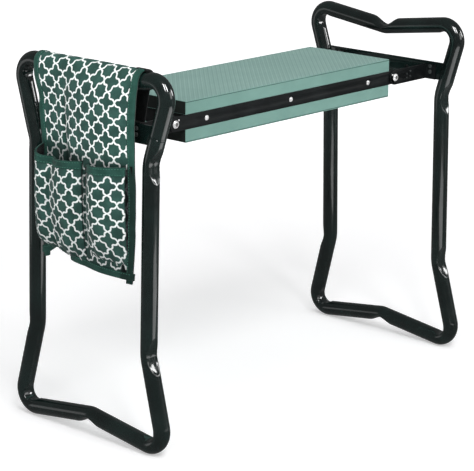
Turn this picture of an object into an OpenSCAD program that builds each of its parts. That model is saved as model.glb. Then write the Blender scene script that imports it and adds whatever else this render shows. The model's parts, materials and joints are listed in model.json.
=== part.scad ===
// Folding garden kneeler and seat: a padded board hinged between two tubular leg loops.
// Either side up it is a stool or a kneeling pad, and both loops fold in under the board.
// X runs along the seat, -Y is the front and Z is up; the origin is on the floor, mid-seat.

/* [Seat board] */
// Length of each foam pad
pad_l = 414; // [380:1:416]
// Shift of the pads along the rails
pad_shift = 4; // [0:0.5:5]
// Depth of the seat over its two rails
seat_w = 146; // [130:1:150]
// Thickness of one foam pad
pad_t = 17.4; // [10:0.1:19]
// Height of the steel rails between the pads
rail_h = 19; // [17:0.5:21]
// Thickness of the rail strip
rail_t = 2; // [1.5:0.1:2.5]
// Height of the seat surface above the floor
seat_h = 436; // [425:0.5:440]
// Spacing of the rail rivets
rivet_pitch = 164; // [120:1:180]

/* [Leg loops] */
// Height of a loop, floor to handle
loop_h = 490; // [480:1:500]
// Width of a loop over its tube, at the handle and at the foot
loop_w = 278; // [270:1:290]
// Width of a loop over its tube, at the waist
waist_w = 229; // [220:1:235]
// Outside diameter of the tube
tube_d = 22; // [19:0.5:24]
// Wall of the tube
tube_wall = 1.4; // [1:0.1:2]
// Height of the lower end of the straight waist
waist_low = 128; // [115:1:160]
// Height of the upper end of the straight waist
waist_high = 376; // [350:1:380]
// Dip of the handle bar and rise of the foot bar at their middle
bar_dip = 14; // [6:1:18]
// Lean of each loop, its foot outward
splay = 1.3; // [0.5:0.1:2]

/* [Hinges] */
// Distance of each hinge axis from the middle of the seat
pivot_x = 221.3; // [220:0.1:224]
// Distance from the hinge axis to the plane of its loop
arm_l = 73.7; // [72:0.1:76]
// Height of the bracket bar
bracket_h = 21; // [20:0.5:22]
// Thickness of the bracket bar
bracket_t = 2.3; // [2:0.1:3]
// Diameter of the hinge bolts
bolt_d = 6; // [5:0.5:6]
// Height of the cross plate in each loop
plate_h = 25; // [22:0.5:28]
// Thickness of the cross plate
plate_t = 2.5; // [2:0.1:3]
// Fold of the left loop, which folds in last
fold_left = 88; // [80:1:89]
// Fold of the right loop, which folds in first
fold_right = 95; // [92:1:96]

/* [Tool pouch] */
// Width of the pouch over its binding
pouch_w = 178; // [160:1:182]
// Height of the lower edge of the pouch
pouch_low = 226; // [200:1:240]
// Thickness of the pouch cloth
cloth_t = 1.5; // [1.2:0.1:2]
// Width of the edge binding
binding_w = 9; // [6:0.5:12]
// Depth that the pockets stand out from the panel
pocket_d = 30; // [20:1:36]
// Height of the lower end of the pockets
pocket_low = 246; // [242:1:260]
// Height of the pocket mouths
pocket_high = 369; // [340:1:380]

/* [Hidden] */
$fn = 64;
left = -1;
right = 1;
front = -1;
back = 1;
tube_r = tube_d / 2;
green = [0.44, 0.62, 0.57];
black = [0.10, 0.13, 0.12];
cloth_green = [0.24, 0.49, 0.42];

// Heights of the seat layers, from the seat surface down
rail_top = seat_h - pad_t;
rail_low = rail_top - rail_h;
pivot_z = rail_low + rail_h / 2;
side_y = seat_w / 2;

// The tilt lifts the foot a little, so the loops are set lower by the same amount
splay_drop = (pivot_z - tube_r) * (1 - cos(splay));
loop_x = pivot_x + arm_l;

// Hinge stack: gaps between what turns and what does not, and the fastener sizes
washer_t = 0.6;
side_gap = 0.15;
bolt_clear = 0.06;
hole_clear = 0.03;
head_r = 5.2;
head_t = 2.6;
nut_t = 4.2;
bolt_tail = 1.2;
stop_r = 1.25;
stop_reach = 7.6;
stop_angle = 145;
stop_clear = 0.3;

// The loop's centreline in its own plane, as [y, z]. Its corners are bends whose outer
// sides reach the loop's full width and height; D is the middle of a bar, W the waist.
corner_bend = 22;
waist_bend = 60;
dip_bend = 22;
waist_y = waist_w / 2 - tube_r;
bend_mid = [loop_w / 2 - tube_r - corner_bend, tube_r + corner_bend];
bar_mid = [0, tube_r + bar_dip];

function unit(v) = v / norm(v);
function heading(v) = atan2(v[1], v[0]);
function along(h) = [cos(h), sin(h)];
function cross_2d(a, b) = a[0] * b[1] - a[1] * b[0];
// Heading of the line from p that touches the bend circle, which it keeps on its left (-1) or right (1)
function touch(p, side) = heading(bend_mid - p) + side * asin(corner_bend / norm(bend_mid - p));
// Where the line from p on heading hp meets the line from q on heading hq
function meet(p, hp, q, hq) = p + along(hp) * cross_2d(q - p, along(hq)) / cross_2d(along(hp), along(hq));
// Corner of the straight lines under the bend, for a waist that starts at height z
function corner(z) = meet(bar_mid, touch(bar_mid, -1), [waist_y, z], touch([waist_y, z], 1));
function flip(v) = [v[0], loop_h - v[1]];
function mirrored(v) = [-v[0], v[1]];

side_points = [
    corner(waist_low), [waist_y, waist_low],
    [waist_y, waist_high], flip(corner(loop_h - waist_high))
];
side_bends = [corner_bend, waist_bend, waist_bend, corner_bend];
loop_points = concat(
    [bar_mid], side_points, [flip(bar_mid)],
    [for (i = [3:-1:0]) mirrored(side_points[i])]
);
loop_bends = concat([dip_bend], side_bends, [dip_bend], side_bends);
corners = len(loop_points);

function point(i) = loop_points[(i + corners) % corners];
function radius(i) = loop_bends[(i + corners) % corners];
function to_last(i) = unit(point(i - 1) - point(i));
function to_next(i) = unit(point(i + 1) - point(i));
function half_angle(i) = acos(to_last(i) * to_next(i)) / 2;
// Distance from corner i back to where its bend starts
function setback(i) = radius(i) / tan(half_angle(i));
function bend_centre(i) = point(i) + unit(to_last(i) + to_next(i)) * radius(i) / sin(half_angle(i));
function bend_start(i) = point(i) + to_last(i) * setback(i);
function bend_end(i) = point(i) + to_next(i) * setback(i);
// Angle that the path turns through at corner i, positive to the left
function turn(i) = sign(cross_2d(to_next(i), to_last(i))) * (180 - 2 * half_angle(i));

// Places the children, drawn in the plane of a loop with +X outward, at one side
module at_loop(side)
    translate([side * loop_x, 0, pivot_z - splay_drop])
        mirror([side < 0 ? 1 : 0, 0, 0])
            rotate([0, -splay, 0])
                translate([0, 0, -pivot_z])
                    children();

// Places the children, drawn about a hinge axis with +X outward, at one side
module at_hinge(side)
    translate([side * pivot_x, 0, pivot_z])
        mirror([side < 0 ? 1 : 0, 0, 0])
            children();

// A disc across Y from y0 to y1
module disc_y(r, y0, y1, x = 0, z = 0)
    translate([x, min(y0, y1), z])
        rotate([-90, 0, 0])
            cylinder(r = r, h = abs(y1 - y0));

// A box between two corners
module box_to(a, b)
    translate([min(a[0], b[0]), min(a[1], b[1]), min(a[2], b[2])])
        cube([abs(b[0] - a[0]), abs(b[1] - a[1]), abs(b[2] - a[2])]);

// Corner of the flared run that the cross plate meets, above the waist on the +Y side
flare_run = 3;
// Half width of the loop's centreline at height z on the flared run
function flare_y(z) =
    let (a = point(flare_run), b = point(flare_run + 1))
    a[0] + (b[0] - a[0]) * (z - a[1]) / (b[1] - a[1]);

// The two ends of the tube meet at a butt joint where the cross plate is welded on
joint_z = pivot_z + 2;
joint_gap = 0.5;

// Stations [y, z, heading] of the sweep: round each bend in steps, from joint to joint
bend_step = 13;
function steps(i) = max(2, ceil(abs(turn(i)) / bend_step));
function bend_stations(i) = [
    for (j = [0:steps(i)])
        let (h = heading(-to_last(i)) + turn(i) * j / steps(i))
        let (p = bend_centre(i) + sign(turn(i)) * radius(i) * [sin(h), -cos(h)])
        [p[0], p[1], h]
];
flare_heading = heading(to_next(flare_run));
joint_top = joint_z + joint_gap / 2;
joint_low = joint_z - joint_gap / 2;
stations = concat(
    [[flare_y(joint_top), joint_top, flare_heading]],
    [for (k = [1:corners]) each bend_stations(flare_run + k)],
    [[flare_y(joint_low), joint_low, flare_heading]]
);

// Rings of points round the stations, and the two triangles between rings i and k at place j
tube_sides = 20;
function ring(s, r) = [
    for (j = [0:tube_sides - 1])
        let (a = 360 * j / tube_sides)
        [r * cos(a), s[0] - r * sin(a) * sin(s[2]), s[1] + r * sin(a) * cos(s[2])]
];
function at_ring(i, j) = i * tube_sides + j % tube_sides;
function strip(i, k, j) = [
    [at_ring(i, j), at_ring(i, j + 1), at_ring(k, j + 1)],
    [at_ring(i, j), at_ring(k, j + 1), at_ring(k, j)]
];
module swept_tube() {
    n = len(stations);
    points = concat(
        [for (s = stations) each ring(s, tube_r)],
        [for (s = stations) each ring(s, tube_r - tube_wall)]
    );
    faces = [
        for (j = [0:tube_sides - 1]) each concat(
            [for (i = [0:n - 2]) each strip(i, i + 1, j)],
            [for (i = [0:n - 2]) each strip(n + i + 1, n + i, j)],
            strip(n, 0, j),
            strip(n - 1, 2 * n - 1, j)
        )
    ];
    polyhedron(points, faces);
}

// The right loop is the left one turned about Z, so its joint is on the other side
module loop_tube(side)
    color(black)
        at_loop(side)
            mirror([0, side < 0 ? 1 : 0, 0])
                swept_tube();

// Short inner tube that joins the two ends of a loop, and clears the flats of its bore
sleeve_half = 13;
sleeve_fit = 0.05;
sleeve_r = (tube_r - tube_wall) * cos(180 / tube_sides) - sleeve_fit;
module joint_sleeve(side) {
    lean = heading(point(flare_run + 1) - point(flare_run)) - 90;
    color("dimgray")
        at_loop(side)
            translate([0, side * flare_y(joint_z), joint_z])
                rotate([side * lean, 0, 0])
                    translate([0, 0, -sleeve_half])
                        difference() {
                            cylinder(r = sleeve_r, h = 2 * sleeve_half);
                            cylinder(r = sleeve_r - tube_wall, h = 2 * sleeve_half);
                        }
}

// Flat steel plate across the loop, its ends cut to the tube it is welded to
plate_low = pivot_z - bracket_h / 2;
module cross_plate(side) {
    color(black)
        at_loop(side)
            difference() {
                translate([-plate_t / 2, -loop_w / 2, plate_low])
                    cube([plate_t, loop_w, plate_h]);
                for (y = [front, back])
                    flare_cut(y);
                for (y = [front, back])
                    bracket_rivet_places(side, y)
                        disc_across(rivet_r + hole_clear, -2 * plate_t, 2 * plate_t);
            }
}

// Everything outward of the middle of the flared run at one side
module flare_cut(y) {
    lean = heading(point(flare_run + 1) - point(flare_run)) - 90;
    translate([0, y * flare_y(pivot_z), pivot_z])
        rotate([y * lean, 0, 0])
            translate([0, 0, -2 * plate_h]) {
                cylinder(r = tube_r, h = 4 * plate_h);
                translate([-tube_d, y < 0 ? -3 * tube_d : 0, 0])
                    cube([2 * tube_d, 3 * tube_d, 4 * plate_h]);
            }
}

// The bracket bars turn outside the rails on the right and inside them on the left
function bar_outer(side) = side > 0 ? side_y + washer_t + side_gap + bracket_t : side_y - rail_t - washer_t - side_gap;
function bar_inner(side) = bar_outer(side) - bracket_t;

rivet_r = 2;
flange_w = 17;
flange_rivet_in = 8;
flange_rivet_z = [8, 0];
// Places of the rivets through a bracket flange and the cross plate, across the loop's plane
module bracket_rivet_places(side, y)
    for (z = flange_rivet_z)
        translate([0, y * (bar_outer(side) + flange_rivet_in), pivot_z + z])
            children();

// A disc across the loop's plane from x0 to x1
module disc_across(r, x0, x1)
    translate([x0, 0, 0])
        rotate([0, 90, 0])
            cylinder(r = r, h = x1 - x0);

// Slot that the stop pin runs in, about the hinge axis: closed by the pin at both ends
function stop_fold(side) = side > 0 ? fold_right : fold_left;
slot_half = stop_r + stop_clear;
pin_half_angle = asin(stop_r / stop_reach) + 0.6;
module stop_slot(side, y0, y1)
    translate([0, y0, 0])
        rotate([-90, 0, 0])
            mirror([0, 1, 0])
                rotate([0, 0, stop_angle - pin_half_angle])
                    rotate_extrude(angle = stop_fold(side) + 2 * pin_half_angle)
                        translate([stop_reach - slot_half, 0])
                            square([2 * slot_half, y1 - y0]);

// Flat bar from a hinge to the cross plate, with a flange bent outward along the plate
module bracket(side, y) {
    inner = bar_inner(side);
    outer = bar_outer(side);
    color(black)
        difference() {
            union() {
                at_hinge(side) {
                    disc_y(bracket_h / 2, y * inner, y * outer);
                    box_to([0, y * inner, -bracket_h / 2], [arm_l - plate_t, y * outer, bracket_h / 2]);
                }
                at_loop(side)
                    box_to(
                        [-plate_t / 2 - bracket_t, y * inner, plate_low],
                        [-plate_t / 2, y * (outer + flange_w), plate_low + bracket_h]
                    );
            }
            at_hinge(side) {
                disc_y(bolt_d / 2 + bolt_clear, y * (inner - 1), y * (outer + 1));
                stop_slot(side, min(y * inner, y * outer) - 1, max(y * inner, y * outer) + 1);
                doubler_rivet_places()
                    disc_y(doubler_rivet_r + hole_clear, y * (inner - 1), y * (outer + 1));
            }
            at_loop(side)
                bracket_rivet_places(side, y)
                    disc_across(rivet_r + hole_clear, -tube_r, tube_r);
        }
}

// Small plate riveted inside each bracket bar, with a tab that stands above the bar
doubler_t = 2;
doubler_x = [22.5, 39.5];
doubler_z = [-6.5, 8];
doubler_rivet_r = 1.2;
tab_x = [28, 32];
tab_top = 13.5;
module doubler_rivet_places()
    for (p = [[27, 1.5], [27, -4], [35, 4.5], [35, -2.5]])
        translate([p[0], 0, p[1]])
            children();

module bracket_doublers(side)
    color(black)
        at_hinge(side)
            for (y = [front, back]) {
                y0 = y * bar_inner(side);
                y1 = y * (bar_inner(side) - doubler_t);
                difference() {
                    union() {
                        box_to([doubler_x[0], y0, doubler_z[0]], [doubler_x[1], y1, doubler_z[1]]);
                        box_to([tab_x[0], y0, doubler_z[1]], [tab_x[1], y1, tab_top]);
                    }
                    doubler_rivet_places()
                        disc_y(doubler_rivet_r + hole_clear, y0 + y, y1 - y);
                }
            }

// Rivets of both brackets of a leg: flange to cross plate, and doubler to bar
rivet_head_t = 1;
module bracket_rivets(side)
    color("silver") {
        at_loop(side)
            for (y = [front, back])
                bracket_rivet_places(side, y) {
                    disc_across(rivet_r, -plate_t / 2 - bracket_t, plate_t / 2);
                    disc_across(1.5 * rivet_r, -plate_t / 2 - bracket_t - rivet_head_t, -plate_t / 2 - bracket_t);
                    disc_across(1.5 * rivet_r, plate_t / 2, plate_t / 2 + rivet_head_t);
                }
        at_hinge(side)
            for (y = [front, back])
                doubler_rivet_places() {
                    disc_y(doubler_rivet_r, y * (bar_inner(side) - doubler_t), y * bar_outer(side));
                    disc_y(1.4 * doubler_rivet_r, y * bar_outer(side), y * (bar_outer(side) + 0.7));
                }
    }

// Where the head and the nut of a hinge bolt bear, as distances from the middle of the seat
function head_y(side) = side > 0 ? bar_outer(side) + side_gap : side_y;
function nut_y(side) = side > 0 ? side_y - rail_t : bar_inner(side) - side_gap;

module hinge_bolts(side)
    color("silver")
        at_hinge(side)
            for (y = [front, back]) {
                disc_y(bolt_d / 2, y * (nut_y(side) - nut_t - bolt_tail), y * head_y(side));
                disc_y(head_r, y * head_y(side), y * (head_y(side) + head_t / 2));
                disc_y(0.8 * head_r, y * (head_y(side) + head_t / 2), y * (head_y(side) + head_t));
            }

module hinge_washers(side) {
    y0 = side > 0 ? side_y : side_y - rail_t - washer_t;
    color("gray")
        at_hinge(side)
            for (y = [front, back])
                difference() {
                    disc_y(bolt_d / 2 + 2, y * y0, y * (y0 + washer_t));
                    disc_y(bolt_d / 2 + hole_clear, y * (y0 - 1), y * (y0 + washer_t + 1));
                }
}

module hinge_nuts(side)
    color("gray")
        at_hinge(side)
            for (y = [front, back])
                difference() {
                    translate([0, y * nut_y(side) - (y > 0 ? nut_t : 0), 0])
                        rotate([-90, 0, 0])
                            cylinder(r = 5.6, h = nut_t, $fn = 6);
                    disc_y(bolt_d / 2 + hole_clear, y * (nut_y(side) - nut_t - 1), y * (nut_y(side) + 1));
                }

// Pins fixed in the rails, which the slots of the bracket bars run against
function stop_near(side) = side > 0 ? side_y - rail_t : bar_inner(side) - 0.6;
function stop_far(side) = side > 0 ? bar_outer(side) + 0.6 : side_y;
module stop_pins(side)
    color("silver")
        at_hinge(side)
            for (y = [front, back])
                disc_y(
                    stop_r, y * stop_near(side), y * stop_far(side),
                    stop_reach * cos(stop_angle), stop_reach * sin(stop_angle)
                );

// A steel strip along one edge of the board, with a round end at each hinge
board_rivet_r = 2;
board_rivet_in = 10;
module rail(y) {
    y0 = y * side_y;
    y1 = y * (side_y - rail_t);
    color(black)
        difference() {
            union() {
                box_to([-pivot_x, y0, rail_low], [pivot_x, y1, rail_top]);
                for (side = [left, right])
                    at_hinge(side)
                        disc_y(rail_h / 2, y0, y1);
            }
            for (side = [left, right])
                at_hinge(side) {
                    disc_y(bolt_d / 2 + hole_clear, y0 + y, y1 - y);
                    disc_y(
                        stop_r + hole_clear, y0 + y, y1 - y,
                        stop_reach * cos(stop_angle), stop_reach * sin(stop_angle)
                    );
                }
            for (x = [-1:1])
                disc_y(board_rivet_r + hole_clear, y0 + y, y1 - y, x * rivet_pitch, pivot_z);
        }
}

module rail_rivets()
    color("silver")
        for (y = [front, back])
            for (x = [-1:1]) {
                disc_y(board_rivet_r, y * (side_y - rail_t - board_rivet_in), y * side_y, x * rivet_pitch, pivot_z);
                disc_y(1.7 * board_rivet_r, y * side_y, y * (side_y + 0.8), x * rivet_pitch, pivot_z);
                disc_y(1.1 * board_rivet_r, y * (side_y + 0.8), y * (side_y + 1.4), x * rivet_pitch, pivot_z);
            }

// Moulded board between the rails, which carries both pads
board_in = 2;
module core_board() {
    half = side_y - rail_t;
    color([0.16, 0.17, 0.17])
        difference() {
            translate([pad_shift - pad_l / 2 + board_in, -half, rail_low])
                cube([pad_l - 2 * board_in, 2 * half, rail_h]);
            for (y = [front, back])
                for (x = [-1:1])
                    disc_y(
                        board_rivet_r + hole_clear, y * (half + 1), y * (half - board_rivet_in),
                        x * rivet_pitch, pivot_z
                    );
        }
}

module pad(low)
    color(green)
        translate([pad_shift - pad_l / 2, -side_y, low])
            cube([pad_l, seat_w, pad_t]);

// The pouch hangs on the outer side of the left handle; its cloth lies on the bar
cloth_in = tube_r + 0.4;
cloth_out = cloth_in + cloth_t;
panel_w = pouch_w - 2 * binding_w;
panel_low = pouch_low + binding_w;
// Levels of the lining that closes the pouch behind the bar
lining_low = 426;
lining_high = 456;
// Height of the middle of the handle bar at y
bar_slope = (point(4)[1] - point(5)[1]) / point(4)[0];
function bar_z(y) = point(5)[1] + abs(y) * bar_slope;

// A block from a level edge up to a top that follows the handle bar's dip, rise above its middle
module hung_block(x0, x1, half, low, rise)
    translate([x0, 0, 0])
        rotate([90, 0, 90])
            linear_extrude(height = x1 - x0)
                polygon([
                    [-half, low], [half, low],
                    [half, bar_z(half) + rise], [0, bar_z(0) + rise], [-half, bar_z(half) + rise]
                ]);

module pouch_panel()
    color(cloth_green)
        at_loop(left)
            difference() {
                hung_block(-cloth_out, cloth_out, panel_w / 2, panel_low, cloth_out);
                hung_block(-cloth_in, cloth_in, panel_w, 0, cloth_in);
                box_to([-2 * cloth_out, -loop_w, 0], [0, loop_w, lining_high]);
            }

module pouch_lining()
    color(black)
        at_loop(left)
            box_to([-cloth_out, -panel_w / 2, lining_low], [-cloth_in, panel_w / 2, lining_high]);

// Folded tape around the sides and the lower edge of the panel
module pouch_binding()
    color([0.22, 0.45, 0.38])
        at_loop(left)
            difference() {
                hung_block(cloth_in, cloth_in + 2 * cloth_t, pouch_w / 2, pouch_low, 0);
                hung_block(0, 2 * cloth_out, panel_w / 2, panel_low, tube_r);
            }

// Open-topped pocket sewn on the panel: front, two sides and a bottom
band_h = 10;
wide_mouth = [-8, 78];
narrow_mouth = [-78, -14];
module pocket_shell(mouth, low, high)
    difference() {
        translate([cloth_out, mouth[0], low])
            cube([pocket_d, mouth[1] - mouth[0], high - low]);
        translate([cloth_out - 1, mouth[0] + cloth_t, low + cloth_t])
            cube([pocket_d + 1 - cloth_t, mouth[1] - mouth[0] - 2 * cloth_t, high]);
    }

module pocket(mouth)
    color(cloth_green)
        at_loop(left)
            pocket_shell(mouth, pocket_low, pocket_high - band_h);

// Plain bands that edge the two pocket mouths
module pocket_bands()
    color([0.22, 0.45, 0.38])
        at_loop(left)
            for (mouth = [wide_mouth, narrow_mouth])
                difference() {
                    pocket_shell(mouth, pocket_high - band_h - 2 * cloth_t, pocket_high);
                    translate([0, -loop_w, pocket_high - band_h - 3 * cloth_t])
                        cube([2 * pocket_d, 2 * loop_w, 3 * cloth_t]);
                }

core_board();
rail(front);  // front_rail
rail(back);  // back_rail
rail_rivets();
pad(rail_top);  // top_pad
pad(rail_low - pad_t);  // bottom_pad
hinge_bolts(left);  // left_hinge_bolts
hinge_washers(left);  // left_hinge_washers
hinge_nuts(left);  // left_hinge_nuts
stop_pins(left);  // left_stop_pins
hinge_bolts(right);  // right_hinge_bolts
hinge_washers(right);  // right_hinge_washers
hinge_nuts(right);  // right_hinge_nuts
stop_pins(right);  // right_stop_pins
loop_tube(left);  // left_loop_tube
joint_sleeve(left);  // left_joint_sleeve
cross_plate(left);  // left_cross_plate
bracket(left, front);  // left_front_bracket
bracket(left, back);  // left_back_bracket
bracket_doublers(left);  // left_bracket_doublers
bracket_rivets(left);  // left_bracket_rivets
loop_tube(right);  // right_loop_tube
joint_sleeve(right);  // right_joint_sleeve
cross_plate(right);  // right_cross_plate
bracket(right, front);  // right_front_bracket
bracket(right, back);  // right_back_bracket
bracket_doublers(right);  // right_bracket_doublers
bracket_rivets(right);  // right_bracket_rivets
pouch_panel();
pouch_lining();
pouch_binding();
pocket(wide_mouth);  // wide_pocket
pocket(narrow_mouth);  // narrow_pocket
pocket_bands();
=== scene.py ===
import json
import math

import bmesh
import bpy
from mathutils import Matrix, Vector, noise

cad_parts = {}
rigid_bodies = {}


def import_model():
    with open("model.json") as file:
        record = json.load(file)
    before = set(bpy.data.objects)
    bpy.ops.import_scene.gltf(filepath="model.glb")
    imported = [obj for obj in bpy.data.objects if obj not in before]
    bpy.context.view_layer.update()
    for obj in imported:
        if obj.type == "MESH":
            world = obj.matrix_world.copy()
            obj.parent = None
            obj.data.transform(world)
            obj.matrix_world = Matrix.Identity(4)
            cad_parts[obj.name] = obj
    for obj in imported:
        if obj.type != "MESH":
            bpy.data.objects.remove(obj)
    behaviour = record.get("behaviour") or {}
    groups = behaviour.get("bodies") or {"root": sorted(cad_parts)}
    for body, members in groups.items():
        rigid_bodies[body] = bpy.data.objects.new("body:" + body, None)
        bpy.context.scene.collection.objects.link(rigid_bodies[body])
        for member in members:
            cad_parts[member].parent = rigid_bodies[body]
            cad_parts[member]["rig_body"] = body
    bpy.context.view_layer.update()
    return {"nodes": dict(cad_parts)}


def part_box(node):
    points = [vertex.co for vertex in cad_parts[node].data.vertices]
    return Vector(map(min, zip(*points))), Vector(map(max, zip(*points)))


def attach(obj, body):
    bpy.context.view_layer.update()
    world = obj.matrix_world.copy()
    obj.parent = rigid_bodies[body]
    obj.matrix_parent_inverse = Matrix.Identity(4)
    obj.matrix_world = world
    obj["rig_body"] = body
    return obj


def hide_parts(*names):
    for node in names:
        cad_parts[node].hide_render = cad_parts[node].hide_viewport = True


# A folding garden kneeler seat: two loops of steel tube, a board between them with foam on both faces,
# and a cloth pouch on the left handle. In metres; +X is the right leg's side and -Y the front.

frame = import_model()

MM = 0.001
LEFT, RIGHT = -1, 1
SIDE_BODY = {LEFT: "left_leg", RIGHT: "right_leg"}
SIDE_NAME = {LEFT: "left", RIGHT: "right"}

# The loop's measures, as the CAD source has them
TUBE_R = 11 * MM
LOOP_H, LOOP_W, WAIST_W = 490 * MM, 278 * MM, 229 * MM
WAIST_LOW, WAIST_HIGH, BAR_DIP = 128 * MM, 376 * MM, 14 * MM
CORNER_BEND, WAIST_BEND, DIP_BEND = 22 * MM, 60 * MM, 22 * MM
PIVOT_X, ARM_L = 221.3 * MM, 73.7 * MM
SPLAY = math.radians(1.3)
PLATE_T = 2.5 * MM
rail_lo, rail_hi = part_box("front_rail")
RAIL_Y = -rail_lo.y
PIVOT_Z = (rail_lo.z + rail_hi.z) / 2
SPLAY_DROP = (PIVOT_Z - TUBE_R) * (1 - math.cos(SPLAY))
LOOP_X = PIVOT_X + ARM_L
JOINT_Z = PIVOT_Z + 2 * MM
PLATE_LOW, PLATE_HIGH = PIVOT_Z - 10.5 * MM, PIVOT_Z + 14.5 * MM


def at_loop(side, x, y, z):
    """Row-frame point of a point in a loop's own frame, x outward from the loop's plane."""
    dz = z - PIVOT_Z
    out = x * math.cos(SPLAY) - dz * math.sin(SPLAY)
    up = x * math.sin(SPLAY) + dz * math.cos(SPLAY)
    return Vector((side * (LOOP_X + out), y, PIVOT_Z - SPLAY_DROP + up))


# -------------------------------- small helpers

def smooth(t):
    t = min(1.0, max(0.0, t))
    return t * t * (3 - 2 * t)


def ramp(value, low, high):
    return smooth((value - low) / (high - low))


def spline(points, t):
    """Smooth curve through (t, value...) rows, read at t."""
    n = len(points)
    if t <= points[0][0]:
        return points[0][1:]
    if t >= points[-1][0]:
        return points[-1][1:]
    i = max(k for k in range(n - 1) if points[k][0] <= t)
    t0, t1 = points[i][0], points[i + 1][0]
    h = t1 - t0
    f = (t - t0) / h

    def slope(k, c):
        before, after = points[max(k - 1, 0)], points[min(k + 1, n - 1)]
        return (after[c] - before[c]) / (after[0] - before[0])

    out = []
    for c in range(1, len(points[0])):
        a, b = points[i][c], points[i + 1][c]
        m0, m1 = slope(i, c) * h, slope(i + 1, c) * h
        f2, f3 = f * f, f * f * f
        out.append((2 * f3 - 3 * f2 + 1) * a + (f3 - 2 * f2 + f) * m0
                   + (3 * f2 - 2 * f3) * b + (f3 - f2) * m1)
    return out


def link(name, mesh, materials):
    for m in materials:
        mesh.materials.append(m)
    o = bpy.data.objects.new(name, mesh)
    bpy.context.scene.collection.objects.link(o)
    return o


def piece(name, bm, materials, body, slot, replaces=()):
    """A finished, smooth-shaded piece from a bmesh, riding on a body."""
    bmesh.ops.recalc_face_normals(bm, faces=bm.faces)
    mesh = bpy.data.meshes.new(name)
    bm.to_mesh(mesh)
    bm.free()
    for p in mesh.polygons:
        p.use_smooth = True
    o = link(name, mesh, materials)
    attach(o, body)
    if replaces:
        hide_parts(*replaces)
    return o


def circle(sides):
    """Points of a unit circle, as (x, y)."""
    return [(math.cos(2 * math.pi * k / sides), math.sin(2 * math.pi * k / sides)) for k in range(sides)]


def bridge(bm, a, b):
    """Faces between two neighbouring rings; a ring of one point is the tip of a cone."""
    sides = max(len(a), len(b))
    for k in range(sides):
        j = (k + 1) % sides
        if len(a) == 1:
            bm.faces.new((a[0], b[k], b[j]))
        elif len(b) == 1:
            bm.faces.new((a[k], a[j], b[0]))
        else:
            bm.faces.new((a[k], a[j], b[j], b[k]))


def rod(bm, rings):
    """Skin along a row of rings, with a cap on each end."""
    for a, b in zip(rings, rings[1:]):
        bridge(bm, a, b)
    bm.faces.new(rings[0])
    bm.faces.new(rings[-1])


def lathe(bm, profile, place, sides):
    """Turns (radius, height) rows about a local axis; place(x, y, h) gives the point."""
    rings = []
    for r, h in profile:
        spots = [(r * c, r * s) for c, s in circle(sides)] if r > 0 else [(0, 0)]
        rings.append([bm.verts.new(place(x, y, h)) for x, y in spots])
    for a, b in zip(rings, rings[1:]):
        bridge(bm, a, b)


def refined(node, material, slot, bevel, segments=2):
    """A copy of a CAD node with rounded edges and smooth round faces, which stands for it."""
    source = frame["nodes"][node]
    bm = bmesh.new()
    bm.from_mesh(source.data)
    bmesh.ops.remove_doubles(bm, verts=bm.verts, dist=0.001 * MM)
    bmesh.ops.dissolve_limit(bm, angle_limit=math.radians(1), verts=bm.verts, edges=bm.edges)
    o = piece(node + "_shape", bm, [material], source["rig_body"], slot, (node,))
    edge = o.modifiers.new("edge", "BEVEL")
    edge.width = bevel
    edge.segments = segments
    edge.limit_method = "ANGLE"
    edge.angle_limit = math.radians(40)
    edge.harden_normals = True


# -------------------------------- materials

class Paint:
    """A material's node tree, with short calls for the nodes it uses."""

    def __init__(self, name):
        self.mat = bpy.data.materials.new(name)
        self.mat.use_nodes = True
        self.tree = self.mat.node_tree
        self.shader = self.tree.nodes["Principled BSDF"]

    def node(self, kind, **settings):
        n = self.tree.nodes.new("ShaderNode" + kind)
        inputs = settings.pop("inputs", {})
        for key, value in settings.items():
            setattr(n, key, value)
        for key, value in inputs.items():
            self.put(n.inputs[key], value)
        return n

    def put(self, socket, value):
        if isinstance(value, bpy.types.NodeSocket):
            self.tree.links.new(value, socket)
        else:
            socket.default_value = value

    def math(self, op, a, b=0.0):
        return self.node("Math", operation=op, inputs={0: a, 1: b}).outputs[0]

    def plus(self, a, b):
        return self.math("ADD", a, b)

    def times(self, a, b):
        return self.math("MULTIPLY", a, b)

    def wave(self, value, pitch):
        """Sine of a value, one turn in each pitch."""
        return self.math("SINE", self.times(value, 2 * math.pi / pitch))

    def mix(self, factor, a, b):
        """Colour a to b; 6 and 7 are the node's two colour sockets."""
        return self.node("Mix", data_type="RGBA", inputs={0: factor, 6: a, 7: b}).outputs[2]

    def noise(self, vector, scale, detail, rough=0.55):
        settings = {"Vector": vector, "Scale": scale, "Detail": detail, "Roughness": rough}
        return self.node("TexNoise", inputs=settings).outputs["Fac"]

    def bump(self, height, strength, distance):
        n = self.node("Bump", inputs={"Strength": strength, "Distance": distance, "Height": height})
        self.put(self.shader.inputs["Normal"], n.outputs[0])

    def range(self, value, low, high, at_low=0.0, at_high=1.0):
        settings = dict(enumerate((value, low, high, at_low, at_high)))
        return self.node("MapRange", interpolation_type="SMOOTHSTEP", inputs=settings).outputs[0]

    def set(self, **values):
        for key, v in values.items():
            self.put(self.shader.inputs[key.replace("_", " ")], v)

    def place(self):
        """The object's own coordinates in metres."""
        return self.node("TexCoord").outputs["Object"]

    def cloth_map(self):
        """The sheet's own coordinates in metres, along and across its threads."""
        return self.node("UVMap", uv_map="cloth").outputs[0]

    def shaded(self, colour):
        """Darkens a colour where the sheet lies in a fold, by the sheet's own shade map."""
        depth = self.axes(self.node("UVMap", uv_map="shade").outputs[0])[0]
        settings = {0: 1.0, 6: colour, 7: (0.05, 0.055, 0.06, 1)}
        dark = self.node("Mix", data_type="RGBA", blend_type="MULTIPLY", inputs=settings)
        return self.mix(depth, colour, dark.outputs[2])

    def axes(self, vector):
        return self.node("SeparateXYZ", inputs={0: vector}).outputs


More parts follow.
